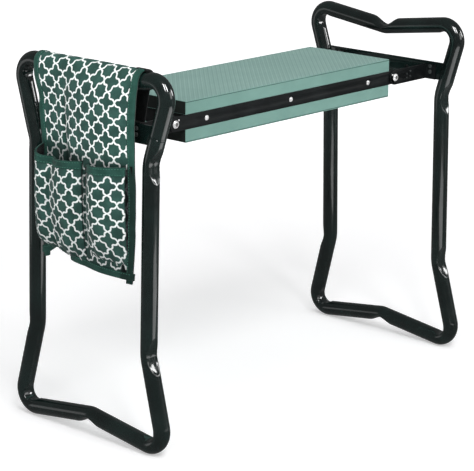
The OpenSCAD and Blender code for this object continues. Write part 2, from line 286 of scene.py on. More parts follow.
def rgb(r, g, b):
    """Linear colour with alpha of an sRGB colour in 0 to 255."""
    def lin(c):
        c /= 255
        return c / 12.92 if c <= 0.04045 else ((c + 0.055) / 1.055) ** 2.4
    return (lin(r), lin(g), lin(b), 1)


def scaled(colour, factor):
    """A colour with its three parts made stronger or weaker."""
    return tuple(min(1, factor * c) for c in colour[:3]) + (1,)


def powder_coat():
    p = Paint("powder_coat")
    at = p.place()
    broad = p.noise(at, 14, 4)
    fine = p.noise(at, 420, 2)
    specks = p.noise(at, 1500, 1)
    dark, light = rgb(8, 18, 17), rgb(17, 31, 29)
    p.set(Base_Color=p.mix(p.range(broad, 0.35, 0.7), dark, light),
          Roughness=p.range(p.noise(at, 60, 4), 0.3, 0.75, 0.14, 0.26), IOR=1.5,
          Coat_Weight=0.9, Coat_Roughness=0.03)
    p.bump(p.plus(p.times(fine, 0.7), p.times(specks, 0.3)), 0.35, 0.12 * MM)
    return p.mat


def satin_black(name, low, high, rough):
    p = Paint(name)
    at = p.place()
    worn = p.noise(at, 35, 5)
    grain = p.noise(at, 900, 2)
    p.set(Base_Color=p.mix(p.range(worn, 0.35, 0.72), low, high),
          Roughness=p.range(p.noise(at, 90, 4), 0.3, 0.75, rough, rough + 0.16), IOR=1.48,
          Specular_IOR_Level=0.32)
    p.bump(grain, 0.5, 0.08 * MM)
    return p.mat


def zinc(name, tint, rough):
    p = Paint(name)
    at = p.place()
    turned = p.noise(at, 700, 3)
    stain = p.noise(at, 160, 5)
    p.set(Base_Color=p.mix(p.range(stain, 0.4, 0.7), tint, scaled(tint, 0.72)),
          Metallic=0.4, Roughness=p.range(turned, 0.3, 0.7, rough, rough + 0.2))
    p.bump(turned, 0.4, 0.06 * MM)
    return p.mat


def foam():
    """Closed-cell foam with a fine diagonal emboss on its level faces."""
    p = Paint("eva_foam")
    at = p.place()
    x, y, _ = p.axes(at)
    steep = p.math("ABSOLUTE", p.axes(p.node("NewGeometry").outputs["Normal"])[2])
    on_level = p.range(steep, 0.6, 0.9)
    pitch = 2.9 * MM * math.sqrt(2)
    diagonal = p.math("SUBTRACT", x, y)
    ribs = p.plus(p.times(p.wave(diagonal, pitch), 0.36), p.times(p.wave(p.plus(x, y), pitch), 0.14))
    wide = p.wave(diagonal, 2.05 * pitch)
    cells = p.noise(at, 1500, 2)
    cloudy = p.range(p.noise(at, 22, 4), 0.3, 0.72)
    side_tone = p.mix(cloudy, rgb(102, 141, 132), rgb(110, 149, 140))
    top_tone = p.mix(cloudy, rgb(130, 165, 158), rgb(138, 172, 165))
    streak = p.range(p.plus(p.times(wide, 0.5), p.times(ribs, 1.6)), -1.3, 1.3)
    top_tone = p.mix(p.times(streak, 0.75), top_tone, rgb(102, 138, 130))
    tone = p.mix(on_level, side_tone, top_tone)
    tone = p.mix(p.times(p.range(cells, 0.35, 0.7), 0.12), tone, rgb(90, 138, 124))
    p.set(Base_Color=tone, Roughness=0.72, IOR=1.4, Sheen_Weight=0.12, Sheen_Roughness=0.5)
    p.bump(p.plus(p.times(p.times(ribs, on_level), 0.9), p.times(cells, 0.25)), 0.6, 0.3 * MM)
    return p.mat


# The printed trellis: its repeat, the width of its white line, and an eighth of one line as
# (larger, smaller) distance from the middle of a clover, in repeats
PERIOD = 25 * MM
LINE_W = 2.3 * MM
TRELLIS = [(0.0, 0.404), (0.202, 0.202), (0.220, 0.189), (0.262, 0.184), (0.312, 0.183), (0.357, 0.173),
           (0.4, 0.149), (0.435, 0.118), (0.464, 0.078), (0.484, 0.041), (0.5, 0.0)]
WEAVE = 0.9 * MM


def outline_curve(p, value):
    """The trellis line's smaller distance for a larger one; the curve node works on 0 to 1."""
    curve = p.node("FloatCurve")
    points = curve.mapping.curves[0].points
    for i, (large, small) in enumerate(TRELLIS):
        spot = (2 * large, 2 * small)
        if i < len(points):
            points[i].location = spot
        else:
            points.new(*spot)
    for q in points:
        q.handle_type = "AUTO_CLAMPED"
    curve.mapping.update()
    p.put(curve.inputs["Value"], p.times(value, 2.0))
    return p.times(curve.outputs[0], 0.5)


def trellis(name, ground, line, shade):
    """Printed clover trellis on woven cloth."""
    p = Paint(name)
    uv = p.cloth_map()
    u, v, _ = p.axes(uv)
    wobble = p.times(p.math("SUBTRACT", p.noise(uv, 60, 2), 0.5), 0.6 * MM)

    def folded(c):
        """Distance from the middle of the nearest clover, in repeats."""
        t = p.math("FRACT", p.plus(p.math("DIVIDE", c, PERIOD), 100.0))
        return p.math("ABSOLUTE", p.math("SUBTRACT", t, 0.5))

    a, b = folded(p.plus(u, wobble)), folded(v)
    large, small = p.math("MAXIMUM", a, b), p.math("MINIMUM", a, b)
    # the line is steep near the clover's tips, where the distance across it is less than down it
    lean = p.range(large, 0.34, 0.47, 1.0, 0.52)
    away = p.times(p.math("ABSOLUTE", p.math("SUBTRACT", small, outline_curve(p, large))), lean)
    half = 0.5 * LINE_W / PERIOD
    ink = p.range(away, half * 0.72, half * 1.25, 1.0, 0.0)
    threads = p.times(p.wave(u, WEAVE), p.wave(v, WEAVE))
    base = p.mix(p.range(p.noise(uv, 45, 5), 0.3, 0.75), shade, ground)
    base = p.mix(p.range(threads, -0.2, 1.0, 0.0, 0.22), base, rgb(86, 134, 122))
    white = p.mix(p.range(threads, -0.4, 1.0, 0.0, 0.25), line, rgb(206, 214, 210))
    p.set(Base_Color=p.shaded(p.mix(ink, base, white)), Roughness=0.8, IOR=1.45,
          Specular_IOR_Level=0.25, Sheen_Weight=0.08, Sheen_Roughness=0.4)
    p.bump(p.plus(threads, p.times(ink, 0.6)), 0.5, 0.12 * MM)
    return p.mat


def plain_cloth(name, tone, light, pitch):
    """Woven cloth of one colour, with ribs along it."""
    p = Paint(name)
    uv = p.cloth_map()
    u, v, _ = p.axes(uv)
    threads = p.times(p.wave(u, pitch), p.wave(v, pitch))
    base = p.mix(p.range(p.noise(uv, 70, 5), 0.3, 0.75), tone, light)
    base = p.mix(p.range(threads, -0.2, 1.0, 0.0, 0.3), base, scaled(light, 1.5))
    p.set(Base_Color=p.shaded(base), Roughness=0.82, IOR=1.45, Specular_IOR_Level=0.25,
          Sheen_Weight=0.08, Sheen_Roughness=0.4)
    p.bump(p.plus(threads, p.times(p.wave(v, 1.8 * MM), 0.4)), 0.6, 0.14 * MM)
    return p.mat


COAT = powder_coat()
RAIL = satin_black("rail_black", rgb(11, 15, 16), rgb(18, 23, 24), 0.34)
BRACKET = satin_black("bracket_black", rgb(11, 14, 15), rgb(20, 23, 24), 0.28)
RECESS = zinc("bolt_recess", (0.16, 0.16, 0.155, 1), 0.4)
PAINTED = satin_black("painted_rivets", rgb(42, 46, 46), rgb(70, 75, 74), 0.3)
ZINC = zinc("zinc_plate", (0.86, 0.86, 0.86, 1), 0.2)
STEEL = zinc("bare_steel", (0.5, 0.49, 0.47, 1), 0.36)
FOAM = foam()
BOARD = satin_black("board_plastic", rgb(24, 27, 27), rgb(34, 37, 37), 0.5)
# Painted shade: a near-black colour that stands in for the shade on the pads' end faces
PAINTED_END_SHADE = satin_black("foam_end_painted_shade", rgb(27, 33, 30), rgb(36, 43, 40), 0.62)
FOAM_SEAM = satin_black("foam_seam", rgb(48, 78, 71), rgb(66, 102, 94), 0.7)
CLOTH = trellis("trellis_print", rgb(52, 92, 83), rgb(250, 255, 253), rgb(33, 65, 59))
TAPE = plain_cloth("binding_tape", rgb(29, 68, 59), rgb(42, 84, 74), 1.1 * MM)
LINING = plain_cloth("black_lining", rgb(17, 20, 20), rgb(26, 30, 30), WEAVE)
THREAD = plain_cloth("sewing_thread", rgb(46, 100, 84), rgb(78, 136, 118), 0.5 * MM)

# -------------------------------- leg loops

# The loop is drawn in its own plane in complex numbers: y is the real part and z the imaginary one
def heading(v):
    return math.atan2(v.imag, v.real)


def run(h):
    return complex(math.cos(h), math.sin(h))


def cross(a, b):
    return a.real * b.imag - a.imag * b.real


BEND_MID = complex(LOOP_W / 2 - TUBE_R - CORNER_BEND, TUBE_R + CORNER_BEND)
BAR_MID = complex(0, TUBE_R + BAR_DIP)
WAIST_Y = WAIST_W / 2 - TUBE_R


def touch(p, side):
    """Heading of the line from a point that touches the corner bend's circle on one side."""
    return heading(BEND_MID - p) + side * math.asin(CORNER_BEND / abs(BEND_MID - p))


def corner(z):
    """Where the lines that touch the corner bend from the bar's middle and from the waist cross."""
    p, q = BAR_MID, complex(WAIST_Y, z)
    hp, hq = touch(p, -1), touch(q, 1)
    return p + run(hp) * cross(q - p, run(hq)) / cross(run(hp), run(hq))


def flip(v):
    return complex(v.real, LOOP_H - v.imag)


# Corners of the centreline and their bend radii, in order round the loop from the middle of the foot bar
side_points = [corner(WAIST_LOW), complex(WAIST_Y, WAIST_LOW),
               complex(WAIST_Y, WAIST_HIGH), flip(corner(LOOP_H - WAIST_HIGH))]
side_bends = [CORNER_BEND, WAIST_BEND, WAIST_BEND, CORNER_BEND]
side_kinds = ["corner", "waist", "waist", "corner"]
loop_points = ([BAR_MID] + side_points + [flip(BAR_MID)]
               + [complex(-v.real, v.imag) for v in reversed(side_points)])
loop_bends = [DIP_BEND] + side_bends + [DIP_BEND] + side_bends[::-1]
loop_kinds = ["foot"] + side_kinds + ["handle"] + side_kinds[::-1]

# Where the press has dented each bend on its hollow side: half length, depth, half angle in degrees
DENTS = {"corner": (27 * MM, 4.6 * MM, 62), "waist": (25 * MM, 6.2 * MM, 64),
         "handle": (27 * MM, 9.5 * MM, 95), "foot": (24 * MM, 5.0 * MM, 85)}
# The groove of the butt joint: depth and half width
GROOVE, GROOVE_HALF = 1.0 * MM, 1.1 * MM


def line_at(start, end):
    """Point and heading at each length of a straight run, as a function."""
    d = (end - start) / abs(end - start)
    return lambda t: (start + d * t, heading(d))


def arc_at(start, centre, radius, sign):
    """The same for a bend; sign is 1 where it turns to the left, else -1."""
    def at(t):
        turned = (start - centre) * run(sign * t / radius)
        return centre + turned, heading(turned * 1j * sign)

    return at


def loop_parts():
    """The centreline's parts as (length at the start, function), its bends' middles, its length."""
    bends = []
    for i, (p, radius) in enumerate(zip(loop_points, loop_bends)):
        before, after = loop_points[i - 1], loop_points[(i + 1) % len(loop_points)]
        a, b = (before - p) / abs(before - p), (after - p) / abs(after - p)
        half = math.acos((a * b.conjugate()).real) / 2
        back = radius / math.tan(half)
        centre = p + (a + b) / abs(a + b) * radius / math.sin(half)
        sign = 1 if cross(-a, b) > 0 else -1
        bends.append((p + a * back, p + b * back, centre, sign, radius * (math.pi - 2 * half)))
    parts, mids, s = [], [], 0.0
    for i, (start, end, centre, sign, length) in enumerate(bends):
        parts.append((s, arc_at(start, centre, loop_bends[i], sign)))
        mids.append((s + length / 2, loop_kinds[i], sign))
        s += length
        following = bends[(i + 1) % len(bends)][0]
        parts.append((s, line_at(end, following)))
        s += abs(following - end)
    return parts, mids, s


PARTS, MIDS, LOOP_LEN = loop_parts()


def on_loop(s):
    """Centreline point and heading at length s."""
    s %= LOOP_LEN
    begin, at = next(part for part in reversed(PARTS) if part[0] <= s)
    return at(s - begin)


def joint_place():
    """Length at which the butt joint lies: on the flared run above the waist, +Y side."""
    def miss(s):
        spot = on_loop(s)[0]
        return abs(spot.imag - JOINT_Z) + (1 if spot.real < 0 else 0)

    tries = 6000
    return min((k * LOOP_LEN / tries for k in range(tries)), key=miss)


JOINT_S = joint_place()


def apart(s, mark):
    """Way along the loop from a mark to a length, the shorter way round."""
    return abs((s - mark + LOOP_LEN / 2) % LOOP_LEN - LOOP_LEN / 2)


def loop_samples():
    """Lengths at which the tube has a ring: close at the joint and the bends, wide between."""
    out, s = [], 0.0
    while s < LOOP_LEN:
        out.append(s)
        bend = min(apart(s, mid) for mid, _, _ in MIDS)
        joint = apart(s, JOINT_S)
        if joint < 1.2 * MM:
            s += 0.25 * MM
        elif bend < 34 * MM or joint < 4 * MM:
            s += 1.1 * MM
        else:
            s += 3 * MM
    return out


def dents_at(s):
    """Dents that reach a length: depth, half angle, direction, and the power of their round."""
    found = []
    for mid, kind, sign in MIDS:
        half, depth, angle = DENTS[kind]
        u = apart(s, mid) / half
        if u < 1:
            bar = kind in ("handle", "foot")
            along = math.cos(math.pi / 2 * u) ** 2 if bar else (1 - u ** 1.8) ** 0.75
            width = math.radians(angle) * (1 - u * u) ** 0.62
            found.append((depth * along, width, math.pi / 2 * sign, 0.9 if bar else 0.7))
    return found


def loop_tube(side):
    sides = 80
    bm = bmesh.new()
    rings = []
    for s in loop_samples():
        centre, h = on_loop(s)
        dents = dents_at(s)
        groove = GROOVE * (1 - smooth(apart(s, JOINT_S) / GROOVE_HALF))
        ring = []
        for k in range(sides):
            a = 2 * math.pi * k / sides
            r = TUBE_R - groove
            for depth, width, towards, power in dents:
                v = abs((a - towards + math.pi) % (2 * math.pi) - math.pi) / width
                if v < 1:
                    r -= depth * (1 - v * v) ** power
            q = centre + 1j * run(h) * r * math.sin(a)
            ring.append(bm.verts.new(at_loop(side, r * math.cos(a), side * q.real, q.imag)))
        rings.append(ring)
    for a, b in zip(rings, rings[1:] + rings[:1]):
        bridge(bm, a, b)
    name = SIDE_NAME[side] + "_loop"
    return piece(name, bm, [COAT], SIDE_BODY[side], "frame_paint", (name + "_tube",))


def flare_y(z):
    """Centreline's y at a height on the flared run above the waist."""
    a, b = loop_points[3], loop_points[4]
    return a.real + (b.real - a.real) * (z - a.imag) / (b.imag - a.imag)


def weld_beads(side):
    """Rippled beads where the cross plate meets the tube, on both faces of the plate."""
    bm = bmesh.new()
    steps, sides, end_gap = 44, 12, 0.8 * MM
    lean = heading(loop_points[4] - loop_points[3]) - math.pi / 2
    reach = math.sqrt(TUBE_R ** 2 - (PLATE_T / 2 + 0.6 * MM) ** 2) / math.cos(lean) + 0.1 * MM
    for y_side in (-1, 1):
        for face in (-1, 1):
            x = face * (PLATE_T / 2 + 0.15 * MM)
            rings = []
            for i in range(steps + 1):
                t = i / steps
                z = PLATE_LOW + end_gap + (PLATE_HIGH - PLATE_LOW - 2 * end_gap) * t
                y = flare_y(z) - reach
                wave = 0.5 + 0.5 * math.sin(i * 1.9 + face + 2 * y_side)
                rough = noise.noise((i * 0.4, face * 3.0, y_side * 5.0))
                r = (1.45 + 0.28 * wave + 0.25 * rough) * MM
                r *= math.sqrt(max(0.02, 1 - abs(2 * t - 1) ** 6))
                rings.append([bm.verts.new(at_loop(side, x + r * c, y_side * (y + r * s), z))
                              for c, s in circle(sides)])
            rod(bm, rings)
    return piece(SIDE_NAME[side] + "_welds", bm, [COAT], SIDE_BODY[side], "frame_paint")


for side in (LEFT, RIGHT):
    loop_tube(side)
    weld_beads(side)

# -------------------------------- steel parts

for node in ("front_rail", "back_rail"):
    refined(node, RAIL, "rail_paint", 0.4 * MM, segments=3)
for side in SIDE_NAME.values():
    refined(side + "_cross_plate", COAT, "frame_paint", 0.4 * MM)
    for node in ("_front_bracket", "_back_bracket", "_bracket_doublers"):
        refined(side + node, BRACKET, "bracket_paint", 0.35 * MM)
    refined(side + "_hinge_nuts", STEEL, "bright_steel", 0.3 * MM)
    refined(side + "_hinge_washers", ZINC, "bright_steel", 0.12 * MM)
    refined(side + "_stop_pins", ZINC, "bright_steel", 0.2 * MM)
    refined(side + "_joint_sleeve", STEEL, "bare_steel", 0.2 * MM)


def hinge_bolts(side):
    """Domed bolts with a pressed ring in the head, one at each end of the hinge."""
    node = SIDE_NAME[side] + "_hinge_bolts"
    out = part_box(node)[1].y
    shank, recess = 3 * MM, 2.45 * MM
    base = out - 2.6 * MM
    # the left leg's bracket bars lie further in, so its bolts reach further too
    inner = {LEFT: 62.4 * MM, RIGHT: 65.6 * MM}[side]
    # the head's rim, dome and recess, as (radius, height over its seat) in mm
    head = [(5, 0), (5.2, 0.2), (5.2, 0.75), (4.95, 1.05), (4.55, 1.3), (3.9, 1.95), (3.35, 2.35),
            (2.9, 2.5), (2.55, 2.4), (2.35, 2.05), (2.1, 1.85), (1.2, 1.75), (0, 1.72)]
    profile = [(0, inner), (shank - 0.4 * MM, inner), (shank, inner + 0.4 * MM), (shank, base)]
    profile += [(r * MM, base + h * MM) for r, h in head]
    bm = bmesh.new()
    for y_side in (-1, 1):
        def place(a, b, h):
            return Vector((side * PIVOT_X + a, y_side * h, PIVOT_Z + b))
        lathe(bm, profile, place, 48)
    for f in bm.faces:
        c = f.calc_center_median()
        if math.hypot(c.x - side * PIVOT_X, c.z - PIVOT_Z) < recess and abs(c.y) > base:
            f.material_index = 1
    return piece(node + "_turned", bm, [ZINC, RECESS], "seat", "bright_steel", (node,))


# A domed rivet head from its rim to its middle, as shares of the head's radius and height
RIVET_DOME = [(1, 0), (1, 0.18), (0.93, 0.45), (0.76, 0.72), (0.5, 0.93), (0.34, 1), (0.26, 0.86), (0, 0.8)]


def rivets(name, spots, r_shank, r_head, h_head, material, body, slot, replaces=()):
    """Domed rivets; each spot is (place function, inner end, height of the seat of the head)."""
    bm = bmesh.new()
    for place, inner, base in spots:
        out = h_head if base > inner else -h_head
        head = [(r * r_head, base + h * out) for r, h in RIVET_DOME]
        lathe(bm, [(0, inner), (r_shank, inner), (r_shank, base)] + head, place, 28)
    return piece(name, bm, [material], body, slot, replaces)


for side in (LEFT, RIGHT):
    hinge_bolts(side)

RIVET_PITCH = 164 * MM
spots = []
for y_side in (-1, 1):
    for k in (-1, 0, 1):
        def place(a, b, h, y_side=y_side, k=k):
            return Vector((k * RIVET_PITCH + a, y_side * h, PIVOT_Z + b))
        spots.append((place, RAIL_Y - 12 * MM, RAIL_Y))
rivets("rail_rivet_heads", spots, 2 * MM, 3.4 * MM, 1.4 * MM, ZINC, "seat", "bright_steel",
       ("rail_rivets",))

# Outer face of the bracket bars: outside the rails on the right leg, inside them on the left
BAR_OUTER = {RIGHT: RAIL_Y + 3.05 * MM, LEFT: RAIL_Y - 2.75 * MM}
BRACKET_T = 2.3 * MM
# Rivets of the small plates, as (outward from the hinge, up) in mm
DOUBLER_SPOTS = ((27, 1.5), (27, -4), (35, 4.5), (35, -2.5))
for side in (LEFT, RIGHT):
    flange, small = [], []
    for y_side in (-1, 1):
        y0 = y_side * (BAR_OUTER[side] + 8 * MM)
        for dz in (8 * MM, 0):
            def place(a, b, h, y0=y0, dz=dz):
                return at_loop(side, h, y0 + a, PIVOT_Z + dz + b)
            flange.append((place, -PLATE_T / 2 - BRACKET_T, PLATE_T / 2))
            flange.append((place, PLATE_T / 2 - 0.1 * MM, -PLATE_T / 2 - BRACKET_T))
        for x, z in DOUBLER_SPOTS:
            def place(a, b, h, x=x, z=z, y_side=y_side):
                return Vector((side * (PIVOT_X + x * MM + a), y_side * h, PIVOT_Z + z * MM + b))
            small.append((place, BAR_OUTER[side] - BRACKET_T - 2 * MM, BAR_OUTER[side]))
    name, look = SIDE_NAME[side], (PAINTED, SIDE_BODY[side], "bracket_paint")
    rivets(name + "_rivet_heads", flange, 2 * MM, 3 * MM, 1 * MM, *look, (name + "_bracket_rivets",))
    rivets(name + "_doubler_rivet_heads", small, 1.2 * MM, 1.7 * MM, 0.7 * MM, *look)

# -------------------------------- seat board and pads

refined("core_board", BOARD, "board", 0.8 * MM, segments=3)


def eased_steps(n, half, ease):
    """Even steps over -1..1 of a half length, with extra ones round each eased edge."""
    inner = 1 - ease / half
    edge = [-1 + (1 - inner) * (1 - math.cos(math.pi / 2 * k / 5)) for k in range(5)]
    core = [-inner + 2 * inner * k / n for k in range(n + 1)]
    return edge + core + [-e for e in reversed(edge)]


def pad(node, top_up):
    """A foam slab: edges eased, outer face falling off a little by its edges, a skin line all round."""
    lo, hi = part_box(node)
    ease = 0.9 * MM
    half = (hi - lo) / 2
    mid = (lo + hi) / 2
    inner = half - Vector((ease, ease, ease))
    us, vs, ws = (eased_steps(n, h, ease) for n, h in zip((138, 50, 8), half))
    outer_z, seam_z = (hi.z, hi.z - 1.5 * MM) if top_up else (lo.z, lo.z + 1.5 * MM)
    seam = (seam_z - mid.z) / half.z
    ws = sorted(ws + [seam - 0.05, seam, seam + 0.05])
    groove = ws.index(seam)
    bm = bmesh.new()
    seen = {}

    def vert(u, v, w):
        """The slab's vertex for u, v, w in -1..1, with the edges rounded."""
        key = (round(u, 6), round(v, 6), round(w, 6))
        if key not in seen:
            q = Vector((u * half.x, v * half.y, w * half.z))
            c = Vector([max(-i, min(i, a)) for i, a in zip(inner, q)])
            d = q - c
            seen[key] = bm.verts.new(mid + c + (d.normalized() * ease if d.length > 1e-9 else d))
        return seen[key]

    def face(point, rows, cols, look):
        """A face of the slab over two lists of steps; look(i, j) gives each quad's material."""
        for i in range(len(rows) - 1):
            for j in range(len(cols) - 1):
                around = ((i, j), (i + 1, j), (i + 1, j + 1), (i, j + 1))
                quad = [point(rows[a], cols[b]) for a, b in around]
                if len(set(quad)) == 4:
                    bm.faces.new(quad).material_index = look(i, j)

    for w in (-1, 1):
        face(lambda a, b: vert(a, b, w), us, vs, lambda i, j: 0)
    for v in (-1, 1):
        face(lambda a, b: vert(a, v, b), us, ws, lambda i, j: 2 if j in (groove - 1, groove) else 0)
    # the end faces, inside a rim of plain foam, take the near-black painted shade
    for u in (-1, 1):
        face(lambda a, b: vert(u, a, b), vs, ws,
             lambda i, j: 1 if 3 < i < len(vs) - 5 and 3 < j < len(ws) - 5 else 0)
    near = 0.2 * MM
    for q in bm.verts:
        x, y, z = q.co
        ex = min(x - lo.x, hi.x - x)
        ey = min(y - lo.y, hi.y - y)
        if abs(z - outer_z) < near:
            # the skin is a little thinner over the cut edges, so the face falls off by them
            fall = 0.35 * MM * (1 - ramp(min(ex, ey), 0, 7 * MM))
            dip = 0.25 * MM * noise.noise((x * 18, y * 18, 1.7))
            q.co.z -= (fall + max(0, dip)) * (1 if top_up else -1)
        if abs(z - seam_z) < 0.1 * MM:
            cut_in = 0.6 * MM
            q.co.x -= math.copysign(cut_in, x - mid.x) if ex < near else 0
            q.co.y -= math.copysign(cut_in, y - mid.y) if ey < near else 0
        if ey < near:
            hollow = 0.35 * MM + 0.3 * MM * noise.noise((x * 9, y * 9, z * 30))
            q.co.y -= math.copysign(hollow, y) * (0.6 if abs(z - mid.z) < 5 * MM else 0.2)
    o = piece(node + "_foam", bm, [FOAM, PAINTED_END_SHADE, FOAM_SEAM], "seat", "foam", (node,))
    return o


pad("top_pad", True)
pad("bottom_pad", False)

# -------------------------------- pouch

PANEL_W, PANEL_LOW, CLOTH_T = 187 * MM, 229 * MM, 1.2 * MM
# Width of the binding tape as it shows on each face
BIND = 9 * MM
# The cloth's highest point, and its radius round the handle's bar
RIDGE, BAR_WRAP = 491 * MM, 12.1 * MM
ARC = BAR_WRAP * math.pi / 2
PANEL_LEN = ARC + (RIDGE - BAR_WRAP - PANEL_LOW)
BACK_LEN = ARC + 12 * MM

# Run of the hanging cloth, in mm: its side edges as (height, y), its stand-off from the face of the bar as
# (place across the width, stand-off), and how far its lower edge rises over the width
BACK_EDGE = [(229, 82), (300, 86), (373, 89.5), (402, 93), (424, 95), (479, 95.5)]
FRONT_EDGE = [(226, -88.5), (285, -94), (342, -93.5), (401, -90), (455, -92), (479, -91.7)]
SWELL = [(0, -9), (10, -8.8), (28, -8), (50, -1.5), (75, 7.5), (101, 13), (126, 15.5), (150, 15.5),
         (170, 11), (187, 5)]
HANG_TOP = 479
LOW_EDGE = [(0, 0), (8, 2), (28, 12), (66, 4), (105, 2), (160, -1), (187, -2)]


def panel(u, v):
    """Loop-frame point of the panel at u across from the back edge and v down from the ridge."""
    um = u / MM
    if v < -ARC:
        x, z = -BAR_WRAP, RIDGE - BAR_WRAP + (v + ARC)
    elif v < ARC:
        a = v / BAR_WRAP
        x, z = BAR_WRAP * math.sin(a), RIDGE - BAR_WRAP * (1 - math.cos(a))
    else:
        x, z = BAR_WRAP, RIDGE - BAR_WRAP - (v - ARC)
    level = z / MM if v > ARC else HANG_TOP
    y_back, y_front = spline(BACK_EDGE, level)[0] * MM, spline(FRONT_EDGE, level)[0] * MM
    y = y_back + (y_front - y_back) * u / PANEL_W
    grow = ramp(v, ARC * 0.4, ARC + 27 * MM)
    low = ramp(RIDGE - z, 190 * MM, 264 * MM)
    # the cloth bellies out as it leaves the bar, with one long valley that wanders down it
    swell = spline(SWELL, um)[0] * MM * (1 - 0.3 * low)
    x += swell * (grow if swell > 0 else ramp(v, ARC + 10 * MM, ARC + 50 * MM))
    valley = math.exp(-((um - 57 + 5 * math.sin((RIDGE - z) * 24)) / 6) ** 2)
    x -= 4.6 * MM * valley * ramp(v, ARC + 16 * MM, ARC + 60 * MM)
    x += grow * 1.1 * MM * noise.noise((um * 0.035, v * 26, 4.2))
    x += grow * 0.5 * MM * noise.noise((um * 0.1, v * 60, 9.2))
    if v > ARC:
        z += spline(LOW_EDGE, um)[0] * MM * ramp(v, PANEL_LEN - 70 * MM, PANEL_LEN)
    # the ridge stands a little higher in the middle
    crown = math.cos((u / PANEL_W * 2 - 1) * math.pi / 2)
    z += (1 - ramp(abs(v), ARC, ARC * 2)) * crown * 0.6 * MM
    return Vector((x, y, z))


def panel_shade(u, v):
    """How deep a place of the panel lies in shadow: the fold, the strip by the pocket, the mouths."""
    um, z = u / MM, (RIDGE - BAR_WRAP - (v - ARC)) / MM
    fold = 0.35 * math.exp(-((um - 53) / 4.5) ** 2) * ramp(v, ARC + 20 * MM, ARC + 60 * MM)
    strip = ramp(um, 166, 174) * ramp(-z, -376, -366)
    mouth = 0.45 * ramp(-z, -384, -368) * (1 - ramp(um, 168, 178))
    return min(1.0, fold + strip + mouth)


def normal_of(surface, u, v):
    e = 0.4 * MM
    du = surface(u + e, v) - surface(u - e, v)
    dv = surface(u, v + e) - surface(u, v - e)
    n = du.cross(dv)
    return n.normalized() if n.length > 1e-12 else Vector((1, 0, 0))


def cloth(name, surface, us, vs, thick, materials, slot, lift=0.0, replaces=(), uv_at=None, shade_at=None):
    """A sheet with two faces and a rim over a grid of its own coordinates; lift is outward.

    Its UV map "cloth" is in metres, and "shade" says how deep in shadow each point lies.
    """
    bm = bmesh.new()
    layer = bm.loops.layers.uv.new("cloth")
    shade = bm.loops.layers.uv.new("shade")
    outer, inner, where, depth = [], [], {}, {}
    for u in us:
        outer.append([])
        inner.append([])
        for v in vs:
            p, n = surface(u, v), normal_of(surface, u, v)
            for face, height in ((outer, lift + thick / 2), (inner, lift - thick / 2)):
                vert = bm.verts.new(at_loop(LEFT, *(p + n * height)))
                face[-1].append(vert)
                where[vert] = uv_at(u, v) if uv_at else (u, v)
                depth[vert] = (shade_at(u, v) if shade_at else 0.0, 0.0)
    nu, nv = len(us), len(vs)

    def add(quad, index):
        f = bm.faces.new(quad)
        f.material_index = index
        for loop in f.loops:
            loop[layer].uv = where[loop.vert]
            loop[shade].uv = depth[loop.vert]

    back = 1 if len(materials) > 1 else 0
    for i in range(nu - 1):
        for j in range(nv - 1):
            add((outer[i][j], outer[i + 1][j], outer[i + 1][j + 1], outer[i][j + 1]), 0)
            add((inner[i][j], inner[i][j + 1], inner[i + 1][j + 1], inner[i + 1][j]), back)
    for i in range(nu - 1):
        for j in (0, nv - 1):
            add((outer[i][j], inner[i][j], inner[i + 1][j], outer[i + 1][j]), 0)
    for j in range(nv - 1):
        for i in (0, nu - 1):
            add((outer[i][j], outer[i][j + 1], inner[i][j + 1], inner[i][j]), 0)
    return piece(name, bm, materials, "left_leg", slot, replaces)


def spread(a, b, n):
    """Even steps from a to b."""
    return [a + (b - a) * k / n for k in range(n + 1)]


def stitches(name, surface, path, lift):
    """Short raised stitches along a path of (u, v) points on a surface."""
    pitch, length, radius = 3.4 * MM, 2.5 * MM, 0.32 * MM
    # a stitch thins towards its ends: (share of its length from the middle, share of its radius)
    shape = ((-0.5, 0.25), (-0.36, 0.85), (0, 1), (0.36, 0.85), (0.5, 0.25))
    spots = []
    for (u0, v0), (u1, v1) in zip(path, path[1:]):
        n = max(1, int(math.hypot(u1 - u0, v1 - v0) / (0.5 * MM)))
        spots += [(u0 + (u1 - u0) * k / n, v0 + (v1 - v0) * k / n) for k in range(n)]
    spots.append(path[-1])
    bm = bmesh.new()
    layer = bm.loops.layers.uv.new("cloth")
    way, due, last = 0.0, 0.0, surface(*spots[0])
    for (u, v), ahead in zip(spots, spots[3:]):
        p = surface(u, v)
        way += (p - last).length
        last = p
        if way < due:
            continue
        due = way + pitch
        t = (surface(*ahead) - p).normalized()
        side = t.cross(normal_of(surface, u, v)).normalized()
        up = side.cross(t)
        base = p + up * lift
        rings = []
        for along, thin in shape:
            middle = base + t * along * length
            r = radius * thin
            rings.append([bm.verts.new(at_loop(LEFT, *(middle + side * r * c + up * r * s)))
                          for c, s in circle(6)])
        rod(bm, rings)
    for f in bm.faces:
        for loop in f.loops:
            loop[layer].uv = (loop.vert.co.y, loop.vert.co.z)
    return piece(name, bm, [THREAD], "left_leg", "pouch_tape")


# The print's place on the panel as it was cut, and how much closer its repeat is down the cloth than across
PRINT_U, PRINT_V, PRINT_DOWN = 8.8 * MM, 11.8 * MM, 1.06
# The print's own drift over the panel in mm, as (u, across, down): the cloth was cut a little askew
PRINT_DRIFT = [(0, 7.5, 6.6), (57, 5.4, 4.3), (109, 0.4, 2.0), (140, -1.4, 1.3), (187, -1.2, 1.2)]


def panel_uv(u, v):
    across, down = spline(PRINT_DRIFT, u / MM)
    return (u - PRINT_U + across * MM, (v - PRINT_V - down * MM) * PRINT_DOWN)


panel_cloth = cloth("pouch_panel_cloth", panel, spread(2 * MM, PANEL_W - 2 * MM, 96),
                    spread(-BACK_LEN, PANEL_LEN - 2 * MM, 150), CLOTH_T, [CLOTH, LINING], "pouch_cloth",
                    replaces=("pouch_panel",), uv_at=panel_uv, shade_at=panel_shade)


